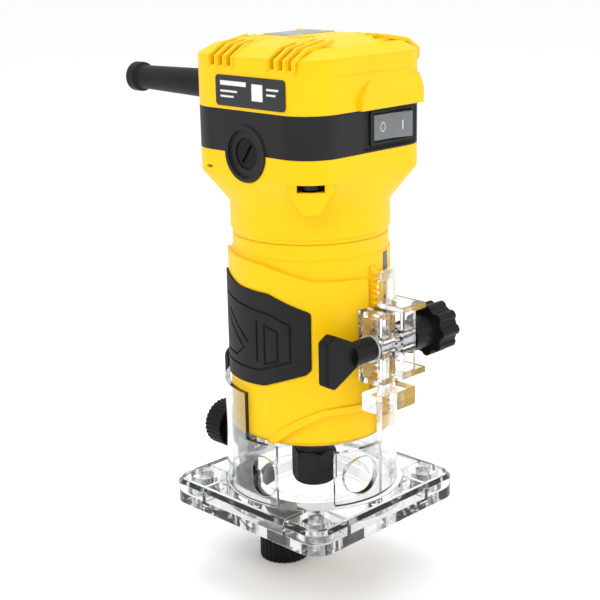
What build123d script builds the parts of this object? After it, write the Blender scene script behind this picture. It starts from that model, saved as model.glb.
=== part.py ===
"""Trim router, millimetres, +Z up.

The origin is on the spindle axis in the plane of the sole (the underside of the clear base).
-Y is the switch side, +Y the cord and edge guide side, -X the label side, +X the height knob side.
"""
import os
from math import cos, pi, radians, sin, sqrt

from build123d import *

os.makedirs("parts", exist_ok=True)

# ---- fits -------------------------------------------------------------------------------
run_gap = 0.06        # radial clearance of a shaft in its bore
slide_gap = 0.35      # radial clearance of the motor housing in the sleeve

# ---- motor housing ----------------------------------------------------------------------
nose_z = 35.0         # underside of the housing above the sole
barrel_r = 32.5       # clamped barrel, 65 mm across
barrel_len = 77.0
collar_r = 31.9
collar_len = 9.0
neck_r = 32.6
neck_len = 10.5
flare_h = 12.5
skirt_h = 9.5
housing_wall = 2.6
shell_rise = 1.6      # raised panel on the barrel
rib_rise = 2.3        # rolled rib under the raised panel
pad_rise = 2.4        # rubber grip pad

collar_z = nose_z + barrel_len
neck_z = collar_z + collar_len
flare_z = neck_z + neck_len
skirt_z = flare_z + flare_h
band_z = skirt_z + skirt_h

# ---- head -------------------------------------------------------------------------------
head_half = 35.0
head_corner = 15.0
band_h = 16.5
cap_side_h = 20.2     # upright side of the top cap
cap_slope_h = 3.6     # sloped shoulder
cap_slope_in = 6.5
cap_crown_h = 2.5     # crown above the shoulder
cap_crown_in = 12.0
head_wall = 2.4
cap_z = band_z + band_h
shoulder_z = cap_z + cap_side_h
crown_z = shoulder_z + cap_slope_h
top_z = crown_z + cap_crown_h
brush_z = band_z
brush_lug_r = 11.0
brush_cap_r = 6.2
head_screw_r = 2.0
corner_reach = (head_half - head_corner) * sqrt(2) + head_corner
post_at = corner_reach - housing_wall - 3.2   # screw posts, from the spindle axis
post_r = 3.8

# ---- rack and height pinion --------------------------------------------------------------
rack_module = 0.8
pinion_teeth = 16
rack_x = 1.4          # middle of the rack and of the gap between the clamp ears
rack_w = 3.7
rack_teeth = 23
pitch_r = rack_module * pinion_teeth / 2
rack_pitch_y = barrel_r + 1.6
clamp_z = 77.5        # clamp bolt and pinion axis
clamp_y = -(rack_pitch_y + pitch_r)
bolt_r = 3.0
pinion_tube_r = 4.5

# ---- clear base --------------------------------------------------------------------------
plate_half = 44.0
plate_corner = 9.0
plate_h = 10.0
plate_floor = 3.6
rim_wall = 3.2
rib_wall = 1.8
boss_at = 33.0        # corner bosses, from the spindle axis along X and Y
boss_r = 6.6
boss_h = 11.0
insert_r = 3.2
insert_hole_r = 2.0   # M4 sub-base screws
throat_r = 23.5       # hole for the cutter
sleeve_wall = 2.6
sleeve_top = 104.0
guard_wall = 1.8
guard_top = 56.0
front_guard_top = 33.0
sleeve_r = barrel_r + slide_gap
guard_r = barrel_r + rib_rise + slide_gap
ear_w = 7.8           # each clamp ear, along X
ear_gap = 4.6
ear_front = 46.5      # front of the ears, towards -Y
ear_low = 62.5
ear_high = 92.0
ear_skin = 2.4
bridge_low = 50.5

# ---- edge guide --------------------------------------------------------------------------
guide_z = 19.5        # guide stud height
strip_half = 8.3
strip_t = 1.8
strip_gap = 0.3
strip_top = 59.0
strip_low = -12.0
slot_half = 3.3
slot_low = 13.0
slot_high = 52.0
guide_face = plate_half + strip_gap
roller_y = 19.6
roller_r = 6.0
roller_h = 9.5
knob_r = 10.3
knob_t = 9.5
under_knob_r = 10.8
under_knob_t = 12.0
stud_r = 3.0          # shoulder of the guide stud, in the plate and the slot
thread_r = 2.5

# ---- rotor -------------------------------------------------------------------------------
shaft_r = 4.0
journal_r = 5.0       # in the lower bearing
collet_bore_r = 3.0   # 6 mm shank
collet_z = 6.5
collet_len = 20.0
nut_flats = 17.0
nut_low = 8.0
nut_h = 15.0
core_r = 15.0
core_low = 84.0
core_h = 38.0
air_gap = 0.5
commutator_r = 10.5
commutator_h = 14.0
fan_r = 25.5
lower_bearing_r = 13.0
lower_bearing_h = 8.0
upper_bearing_r = 9.5
upper_bearing_h = 6.0
lower_bearing_z = nose_z + 7.0
upper_bearing_z = cap_z + 1.5
fan_z = lower_bearing_z + lower_bearing_h + 6.0

# ---- switch and cord guard ---------------------------------------------------------------
rocker_x = 11.2
rocker_w = 22.0
rocker_h = 11.0
rocker_z = cap_z - 2.2 - rocker_h / 2
panel_depth = 1.6
guard_z = cap_z + 3.0
guard_root_r = 6.6
guard_tip_r = 5.2
guard_end = 110.0
cord_r = 3.2


def side_plane(angle, distance=0.0):
    """Upright plane that faces outwards at an angle about the spindle; its x is level, its y is up."""
    turn = radians(angle)
    return Plane(origin=(distance * cos(turn), distance * sin(turn), 0),
                 x_dir=(-sin(turn), cos(turn), 0), z_dir=(cos(turn), sin(turn), 0))


def outline(points, corner=0.0):
    """Face inside a closed polygon, with its corners rounded."""
    with BuildSketch() as shape:
        with BuildLine():
            if corner:
                FilletPolyline(*points, radius=corner, close=True)
            else:
                Polyline(*points, close=True)
        make_face()
    return shape.sketch


def save(name, builder):
    """Label a finished piece and write it."""
    builder.part.label = name
    export_step(builder.part, f"parts/{name}.step")


# ---- motor housing -----------------------------------------------------------------------
barrel_face = side_plane(225)
pad_face = side_plane(180)
panel_right = 22.2
panel_outline = [(-40, 112.5), (-30, 111.5), (-19, 110.2), (-8, 106.9), (1, 104.6), (12, 104.2),
                 (panel_right, 103.8), (panel_right, 50.6), (10.5, 50.8), (3.5, 50.2), (-3, 47.6),
                 (-10, 43.6), (-17, 37.6), (-40, 37.6)]
rib_outline = [(panel_right, 52.2), (10.5, 52.4), (3.0, 51.8), (-4, 49.0), (-11.3, 44.8), (-18.6, 38.4),
               (-18.6, 36.4), (-16, 36.4), (-9, 42.2), (-2.2, 46.2), (4.0, 48.6), (10.5, 49.2),
               (panel_right, 49.0)]
pad_outline = [(-24.0, 103.6), (-17.2, 102.3), (-7.3, 99.9), (0.9, 99.3), (8.5, 98.9), (13.8, 96.6),
               (23.6, 92.0), (23.6, 68.6), (22.0, 66.6), (6.2, 60.7), (-2.3, 60.2), (-19.2, 59.6),
               (-24.0, 59.3)]


def barrel_shell(radius, plane, points, corner):
    """Ring sector from just under the barrel's skin out to a radius, seen as an outline on a plane."""
    with BuildPart() as shell:
        with BuildSketch(Plane.XY.offset(nose_z)):
            Circle(radius)
            Circle(barrel_r, mode=Mode.SUBTRACT)
        extrude(amount=barrel_len)
        with BuildSketch(plane):
            add(outline(points, corner))
        extrude(amount=2 * barrel_r, mode=Mode.INTERSECT)
    return shell.part


pad_solid = barrel_shell(barrel_r + pad_rise, pad_face, pad_outline, 2.0)
pad_space = barrel_shell(barrel_r + pad_rise + 2, pad_face, pad_outline, 2.0)
panel_solid = barrel_shell(barrel_r + shell_rise, barrel_face, panel_outline, 2.4)
rib_solid = barrel_shell(barrel_r + rib_rise, barrel_face, rib_outline, 0.9)

scale_t = 0.3
scale_low = collar_z - 10.0
with BuildPart() as scale_strip:
    with BuildSketch(Plane.XY.offset(scale_low)):
        Circle(barrel_r)
        Circle(barrel_r - scale_t, mode=Mode.SUBTRACT)
    extrude(amount=9.5)
    with BuildSketch(side_plane(291)):
        with Locations((0, collar_z)):
            Rectangle(5.0, 40)
    extrude(amount=2 * barrel_r, mode=Mode.INTERSECT)
scale_solid = scale_strip.part
save("scale_strip", scale_strip)

rack_low = clamp_z - rack_teeth * rack_module * pi / 2
rack_high = clamp_z + rack_teeth * rack_module * pi / 2
rack_back_y = -(barrel_r - 1.0)
rack_root_y = -(rack_pitch_y - 1.1 * rack_module)
rack_tip_y = -(rack_pitch_y + 0.9 * rack_module)
tooth_foot = rack_module * pi * 0.36
tooth_crest = rack_module * pi * 0.13
with BuildPart() as motor_housing:
    with BuildSketch(Plane.XZ):
        add(outline([(10.0, nose_z), (barrel_r - 2.0, nose_z), (barrel_r, nose_z + 2.0),
                     (barrel_r, collar_z), (collar_r, collar_z + 0.5), (collar_r, neck_z - 2.6),
                     (collar_r - 0.5, neck_z - 2.4), (collar_r, neck_z - 2.0), (collar_r, neck_z - 1.0),
                     (neck_r, neck_z), (neck_r, flare_z), (10.0, flare_z)]))
    revolve(axis=Axis.Z)
    with BuildSketch(Plane.XY.offset(flare_z)):
        Circle(neck_r)
    with BuildSketch(Plane.XY.offset(skirt_z)):
        RectangleRounded(2 * head_half, 2 * head_half, head_corner)
    loft()
    with BuildSketch(Plane.XY.offset(skirt_z)):
        RectangleRounded(2 * head_half, 2 * head_half, head_corner)
    extrude(amount=skirt_h)
    # tongues under two opposite corners
    for corner_angle in (45, 225):
        with BuildSketch(side_plane(corner_angle, neck_r - 6)):
            add(outline([(-8.8, skirt_z + 1), (-8.8, skirt_z - 3.0), (-3.0, flare_z + 0.6),
                         (3.0, flare_z + 0.6), (8.8, skirt_z - 3.0), (8.8, skirt_z + 1)], 1.0))
        extrude(amount=14.0)
    # fan and stator chamber, flared head cavity
    with BuildSketch(Plane.XZ):
        add(outline([(0, fan_z - 2.0), (fan_r + 1.5, fan_z - 2.0),
                     (barrel_r - housing_wall, fan_z + 6.0), (barrel_r - housing_wall, flare_z),
                     (0, flare_z)]))
    revolve(axis=Axis.Z, mode=Mode.SUBTRACT)
    with BuildSketch(Plane.XY.offset(flare_z)):
        Circle(barrel_r - housing_wall)
    with BuildSketch(Plane.XY.offset(skirt_z)):
        RectangleRounded(2 * (head_half - housing_wall), 2 * (head_half - housing_wall),
                         head_corner - housing_wall)
    loft(mode=Mode.SUBTRACT)
    with BuildSketch(Plane.XY.offset(skirt_z)):
        RectangleRounded(2 * (head_half - housing_wall), 2 * (head_half - housing_wall),
                         head_corner - housing_wall)
    extrude(amount=skirt_h, mode=Mode.SUBTRACT)
    # bearing seat, shaft hole and air outlets in the nose
    with BuildSketch(Plane.XY.offset(lower_bearing_z)):
        Circle(lower_bearing_r)
    extrude(amount=fan_z, mode=Mode.SUBTRACT)
    with BuildSketch(Plane.XY.offset(nose_z)):
        with PolarLocations(19.0, 8):
            SlotOverall(9.0, 3.4, rotation=90)
    extrude(amount=fan_z - nose_z, mode=Mode.SUBTRACT)
    # screw posts for the head
    with BuildSketch(Plane.XY.offset(skirt_z - 0.1)):
        with PolarLocations(post_at, 4, start_angle=45):
            Circle(post_r)
    extrude(amount=skirt_h + 0.1)
    with BuildSketch(Plane.XY.offset(flare_z)):
        with PolarLocations(post_at, 4, start_angle=45):
            Circle(head_screw_r)
    extrude(amount=skirt_h + flare_h, mode=Mode.SUBTRACT)
    for corner_angle in (45, 135, 225, 315):
        with BuildSketch(side_plane(corner_angle, post_at - post_r)):
            with Locations((0, skirt_z - 1.4)):
                Rectangle(10.5, 3.2)
        extrude(amount=14.0, mode=Mode.SUBTRACT)
    # round clearances for the brush lugs of the band
    for lug_angle in (0, 180):
        with BuildSketch(side_plane(lug_angle, head_half - 8)):
            with Locations((0, brush_z)):
                Circle(brush_lug_r + 0.1)
        extrude(amount=10, mode=Mode.SUBTRACT)
    # small drain slot beside the lug
    with BuildSketch(side_plane(180, head_half - 4)):
        with Locations((-21.0, skirt_z + 2.6)):
            SlotOverall(3.4, 1.1)
    extrude(amount=6, mode=Mode.SUBTRACT)
    # rack on the switch side
    with BuildSketch(Plane.YZ.offset(rack_x - rack_w / 2)):
        add(outline([(rack_back_y, rack_low - 1.2), (rack_root_y, rack_low - 1.2),
                     (rack_root_y, rack_high + 1.2), (rack_back_y, rack_high + 1.2)]))
        for tooth in range(rack_teeth):
            mid = rack_low + (tooth + 0.5) * rack_module * pi
            add(outline([(rack_root_y + 0.1, mid - tooth_foot), (rack_tip_y, mid - tooth_crest),
                         (rack_tip_y, mid + tooth_crest), (rack_root_y + 0.1, mid + tooth_foot)]))
    extrude(amount=rack_w)
    # raised panel with its rolled rib, and the recess that holds the rubber pad
    add(panel_solid)
    add(rib_solid)
    add(pad_space, mode=Mode.SUBTRACT)
    add(scale_solid, mode=Mode.SUBTRACT)
save("motor_housing", motor_housing)

# rubber pad with moulded grooves: a frame line, two bars and two slanted flutes
pad_grooves = [[(-24.5, 95.5), (-6, 92.8), (9, 91.0), (17.5, 87.0), (17.5, 72.0), (4, 67.0), (-24.5, 66.5)],
               [(-21, 88.5), (-4.5, 74.5), (-10, 70.5), (-24.5, 70.5)],
               [(-16, 89.0), (-1.8, 77.5)],
               [(3.2, 87.5), (3.2, 70.5)],
               [(7.0, 86.0), (12.6, 84.0), (12.6, 71.8), (7.0, 70.2), (7.0, 86.0)]]


def groove(route):
    """Shallow cutter that follows a route drawn on the pad's face."""
    with BuildPart() as cutter:
        with BuildSketch(Plane.XY.offset(nose_z)):
            Circle(barrel_r + pad_rise + 1)
            Circle(barrel_r + pad_rise - 0.7, mode=Mode.SUBTRACT)
        extrude(amount=barrel_len)
        with BuildSketch(pad_face):
            with BuildLine():
                Polyline(*route)
            trace(line_width=1.0)
        extrude(amount=2 * barrel_r, mode=Mode.INTERSECT)
    return cutter.part


with BuildPart() as grip_pad:
    add(pad_solid)
    for route in pad_grooves:
        add(groove(route), mode=Mode.SUBTRACT)
save("grip_pad", grip_pad)

# ---- head --------------------------------------------------------------------------------
def head_outline(inset=0.0):
    """Rounded square of the head, set in from its outside."""
    with BuildSketch() as face:
        RectangleRounded(2 * (head_half - inset), 2 * (head_half - inset), head_corner - min(inset, 12.0))
    return face.sketch


def bore_along(angle, start, depth, level, radius):
    """Round cutter pointing outwards from the spindle axis at an angle."""
    with BuildPart() as cutter:
        with BuildSketch(side_plane(angle, start)):
            with Locations((0, level)):
                Circle(radius)
        extrude(amount=depth)
    return cutter.part


with BuildPart() as mid_band:
    with BuildSketch(Plane.XY.offset(band_z)):
        add(head_outline())
        add(head_outline(head_wall), mode=Mode.SUBTRACT)
    extrude(amount=band_h)
    with BuildSketch(Plane.XY.offset(band_z)):
        with PolarLocations(post_at, 4, start_angle=45):
            Circle(post_r)
    extrude(amount=band_h)
    with BuildSketch(Plane.XY.offset(band_z)):
        with PolarLocations(post_at, 4, start_angle=45):
            Circle(head_screw_r + 0.1)
    extrude(amount=band_h, mode=Mode.SUBTRACT)
    for lug_angle in (0, 180):
        with BuildSketch(side_plane(lug_angle, head_half - 7.5)):
            with Locations((0, brush_z)):
                Circle(brush_lug_r)
        extrude(amount=8.1)
        with BuildSketch(side_plane(lug_angle, head_half - 0.5)):
            with Locations((0, brush_z)):
                Circle(brush_lug_r - 1.6)
        extrude(amount=2, mode=Mode.SUBTRACT)
        with BuildSketch(side_plane(lug_angle, head_half - 8)):
            with Locations((0, brush_z)):
                Circle(brush_cap_r)
        extrude(amount=10, mode=Mode.SUBTRACT)
    with BuildSketch(side_plane(270, head_half - panel_depth)):
        with Locations((rocker_x - 1.2, band_z + band_h / 2)):
            RectangleRounded(rocker_w + 10.6, band_h - 1.6, 1.6)
    extrude(amount=panel_depth + 1, mode=Mode.SUBTRACT)
    with BuildSketch(side_plane(270, head_half - 8)):
        with Locations((rocker_x, rocker_z)):
            Rectangle(rocker_w + 0.8, rocker_h + 0.8)
    extrude(amount=10, mode=Mode.SUBTRACT)
    add(bore_along(90, head_half - 8, 10, guard_z, guard_root_r), mode=Mode.SUBTRACT)
save("mid_band", mid_band)

vent_rows = (8.0, 12.6, 17.2, -15.5, -20.1, -24.7)
vent_w = 2.3
vent_foot = shoulder_z - 3.6
vent_reach = 21.5
with BuildPart() as top_cap:
    with BuildSketch(Plane.XY.offset(cap_z)):
        add(head_outline())
    extrude(amount=cap_side_h)
    with BuildSketch(Plane.XY.offset(shoulder_z)):
        add(head_outline())
    with BuildSketch(Plane.XY.offset(crown_z)):
        add(head_outline(cap_slope_in))
    with BuildSketch(Plane.XY.offset(top_z)):
        add(head_outline(cap_slope_in + cap_crown_in))
    loft(ruled=True)
    # hood over the switch
    with BuildSketch(side_plane(270, head_half - 4)):
        add(outline([(rocker_x - 20.2, cap_z), (rocker_x + 15.6, cap_z), (rocker_x + 15.6, cap_z + 11.5),
                     (rocker_x - 13.2, cap_z + 11.5), (rocker_x - 20.2, cap_z + 5.0)]))
    extrude(amount=6.2)
    with BuildSketch(Plane.YZ):
        add(outline([(-head_half - 2.6, cap_z + 6.0), (-head_half - 2.2, cap_z + 6.0),
                     (-head_half + 0.2, cap_z + 11.5), (-head_half + 0.2, cap_z + 14),
                     (-head_half - 2.6, cap_z + 14)]))
    extrude(amount=head_half, both=True, mode=Mode.SUBTRACT)
    # cavity
    with BuildSketch(Plane.XY.offset(cap_z)):
        add(head_outline(head_wall))
    extrude(amount=cap_side_h - 1.0, mode=Mode.SUBTRACT)
    with BuildSketch(Plane.XY.offset(shoulder_z - 1.0)):
        add(head_outline(head_wall))
    with BuildSketch(Plane.XY.offset(crown_z - head_wall)):
        add(head_outline(cap_slope_in + 1.0))
    with BuildSketch(Plane.XY.offset(top_z - head_wall)):
        add(head_outline(cap_slope_in + cap_crown_in))
    loft(ruled=True, mode=Mode.SUBTRACT)
    with BuildSketch(Plane.XY.offset(cap_z)):
        with PolarLocations(post_at, 4, start_angle=45):
            Circle(post_r)
    extrude(amount=cap_side_h)
    with BuildSketch(Plane.XY.offset(cap_z)):
        with PolarLocations(post_at, 4, start_angle=45):
            Circle(head_screw_r - 0.1)
    extrude(amount=12, mode=Mode.SUBTRACT)
    # vents over both shoulders
    with BuildSketch(Plane.XY.offset(vent_foot)):
        for row in vent_rows:
            for side in (-1, 1):
                with Locations((side * (head_half + 1 + vent_reach) / 2, row)):
                    Rectangle(head_half + 1 - vent_reach, vent_w)
    extrude(amount=top_z - vent_foot, mode=Mode.SUBTRACT)
    add(bore_along(90, head_half - 8, 10, guard_z, guard_root_r), mode=Mode.SUBTRACT)
save("top_cap", top_cap)

screw_low = skirt_z - 2.0
with BuildPart() as head_screws:
    with BuildSketch(Plane.XY.offset(screw_low)):
        with PolarLocations(post_at, 4, start_angle=45):
            Circle(3.6)
    extrude(amount=1.9)
    with BuildSketch(Plane.XY.offset(screw_low)):
        with PolarLocations(post_at, 4, start_angle=45):
            Circle(head_screw_r - 0.1)
    extrude(amount=cap_z + 10 - screw_low)
save("head_screws", head_screws)

with BuildPart() as side_label:
    with BuildSketch(side_plane(180, head_half)):
        with Locations((3.6, cap_z + 7.2)):
            RectangleRounded(38.0, 11.8, 1.6)
    extrude(amount=0.4)
save("side_label", side_label)

with BuildPart() as top_label:
    with BuildSketch(Plane.XY.offset(top_z)):
        with Locations((3.2, 7.6)):
            RectangleRounded(26.0, 15.0, 0.8)
    extrude(amount=0.3)
save("top_label", top_label)

# ---- cord guard, clamp and switch ----------------------------------------------------------
inner = head_half - head_wall
with BuildPart() as cord_guard:
    with BuildSketch(Plane.YZ):
        add(outline([(inner - 3.4, guard_z + cord_r), (inner - 3.4, guard_z + guard_root_r + 2.2),
                     (inner, guard_z + guard_root_r + 2.2), (inner, guard_z + guard_root_r),
                     (head_half + 6, guard_z + guard_root_r), (guard_end - 7, guard_z + guard_tip_r),
                     (guard_end - 6, guard_z + guard_tip_r + 1.3),
                     (guard_end - 1.6, guard_z + guard_tip_r + 1.3),
                     (guard_end, guard_z + guard_tip_r), (guard_end, guard_z + cord_r)]))
    revolve(axis=Axis((0, 0, guard_z), (0, 1, 0)))
save("cord_guard", cord_guard)

clamp_post_x = 10.0
clamp_line = head_half - 13.0
with BuildPart() as cord_clamp:
    with BuildSketch(side_plane(90, clamp_line)):
        with Locations((0, guard_z + cord_r + 2.0)):
            RectangleRounded(2 * clamp_post_x + 7, 4.0, 1.2)
    extrude(amount=7)
    with BuildSketch(side_plane(90, clamp_line)):
        with Locations((0, guard_z)):
            Circle(cord_r + 0.4)
    extrude(amount=7, mode=Mode.SUBTRACT)
    with BuildSketch(Plane.XY.offset(guard_z)):
        with Locations((clamp_post_x, clamp_line + 3.5), (-clamp_post_x, clamp_line + 3.5)):
            Circle(1.6)
    extrude(amount=12, mode=Mode.SUBTRACT)
save("cord_clamp", cord_clamp)

with BuildPart() as cord_clamp_screws:
    with BuildSketch(Plane.XY.offset(guard_z + cord_r + 4.0)):
        with Locations((clamp_post_x, clamp_line + 3.5), (-clamp_post_x, clamp_line + 3.5)):
            Circle(2.8)
    extrude(amount=1.8)
    with BuildSketch(Plane.XY.offset(guard_z - 7.0)):
        with Locations((clamp_post_x, clamp_line + 3.5), (-clamp_post_x, clamp_line + 3.5)):
            Circle(1.5)
    extrude(amount=cord_r + 11.0)
save("cord_clamp_screws", cord_clamp_screws)

bridge_t = 4.0
with BuildPart() as clamp_bridge:
    with BuildSketch(Plane.XY.offset(guard_z - cord_r - bridge_t)):
        with Locations((0, clamp_line + (inner - clamp_line) / 2)):
            Rectangle(2 * clamp_post_x + 8, inner - clamp_line)
    extrude(amount=bridge_t)
    with BuildSketch(Plane.XY.offset(guard_z - cord_r - bridge_t)):
        with Locations((clamp_post_x, clamp_line + 3.5), (-clamp_post_x, clamp_line + 3.5)):
            Circle(1.5)
    extrude(amount=bridge_t, mode=Mode.SUBTRACT)
    add(bore_along(90, head_half - 8, 10, guard_z, guard_root_r + 2.3), mode=Mode.SUBTRACT)
save("clamp_bridge", clamp_bridge)

rocker_pivot_y = -(head_half - 3.0)
case_depth = 15.0
face_y = head_half - panel_depth
pivot_pin_r = 0.9
with BuildPart() as switch_case:
    with BuildSketch(side_plane(270, face_y)):
        with Locations((rocker_x, rocker_z)):
            RectangleRounded(rocker_w + 2.6, rocker_h + 2.4, 0.8)
            Rectangle(rocker_w + 0.2, rocker_h + 0.2, mode=Mode.SUBTRACT)
    extrude(amount=0.9)
    with BuildSketch(side_plane(270, face_y - case_depth)):
        with Locations((rocker_x, rocker_z)):
            Rectangle(rocker_w + 0.7, rocker_h + 0.7)
    extrude(amount=case_depth)
    with BuildSketch(side_plane(270, face_y - 6.6)):
        with Locations((rocker_x, rocker_z)):
            Rectangle(rocker_w - 0.9, rocker_h - 0.9)
    extrude(amount=9, mode=Mode.SUBTRACT)
    with BuildSketch(Plane.XY.offset(rocker_z - rocker_h)):
        with Locations((rocker_x, rocker_pivot_y)):
            Circle(pivot_pin_r + run_gap)
    extrude(amount=2 * rocker_h, mode=Mode.SUBTRACT)
save("switch_case", switch_case)

# rocker with a shallow valley on its pivot line; the side marked O is the one pressed in
rocker_tilt = radians(9.0)
rocker_reach = 9.7
rocker_face = Plane(origin=(rocker_x, rocker_pivot_y, rocker_z - rocker_h / 2 + 0.6),
                    x_dir=(cos(rocker_tilt), -sin(rocker_tilt), 0), z_dir=(0, 0, 1))
with BuildPart() as rocker:
    with BuildSketch(rocker_face):
        add(outline([(-rocker_reach, -3.6), (0, -2.6), (rocker_reach, -3.6), (rocker_reach, 1.0),
                     (2.4, 2.2), (-2.4, 2.2), (-rocker_reach, 1.0)]))
    extrude(amount=rocker_h - 1.2)
    with BuildSketch(Plane.XY.offset(rocker_z - rocker_h / 2 - 0.2)):
        with Locations((rocker_x, rocker_pivot_y)):
            Circle(pivot_pin_r)
    extrude(amount=rocker_h + 0.4)
save("rocker", rocker)

with BuildPart() as switch_terminals:
    with BuildSketch(side_plane(270, face_y - case_depth - 6)):
        with GridLocations(8.0, 6.0, 2, 1):
            with Locations((rocker_x, rocker_z)):
                Rectangle(0.8, 4.8)
    extrude(amount=6)
save("switch_terminals", switch_terminals)

with BuildPart() as capacitor:
    with BuildSketch(Plane.XY.offset(cap_z + 6)):
        with Locations((0, -head_half + head_wall + 5.0)):
            RectangleRounded(18, 9, 1)
    extrude(amount=12)
save("capacitor", capacitor)


# ---- clear base ----------------------------------------------------------------------------
def ring_sector(inner_r, outer_r, low, high, start, stop):
    """Part of an upright ring between two angles about the spindle axis."""
    turn = radians(start)
    plane = Plane(origin=(0, 0, 0), x_dir=(cos(turn), sin(turn), 0), z_dir=(sin(turn), -cos(turn), 0))
    with BuildPart() as sector:
        with BuildSketch(plane):
            add(outline([(inner_r, low), (outer_r, low), (outer_r, high), (inner_r, high)]))
        revolve(axis=Axis.Z, revolution_arc=stop - start)
    return sector.part


def block(x_low, x_high, y_low, y_high, z_low, z_high):
    """Plain block between two corners."""
    with BuildPart() as solid:
        with BuildSketch(Plane.XY.offset(z_low)):
            with Locations(((x_low + x_high) / 2, (y_low + y_high) / 2)):
                Rectangle(x_high - x_low, y_high - y_low)
        extrude(amount=z_high - z_low)
    return solid.part


sleeve_out = sleeve_r + sleeve_wall
guard_out = guard_r + guard_wall
gap_left = rack_x - ear_gap / 2
gap_right = rack_x + ear_gap / 2
ear_left = gap_left - ear_w
ear_right = gap_right + ear_w
flange_right = ear_right + 6.2
ear_back = guard_r
block_top = guide_z + 9.0

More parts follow.
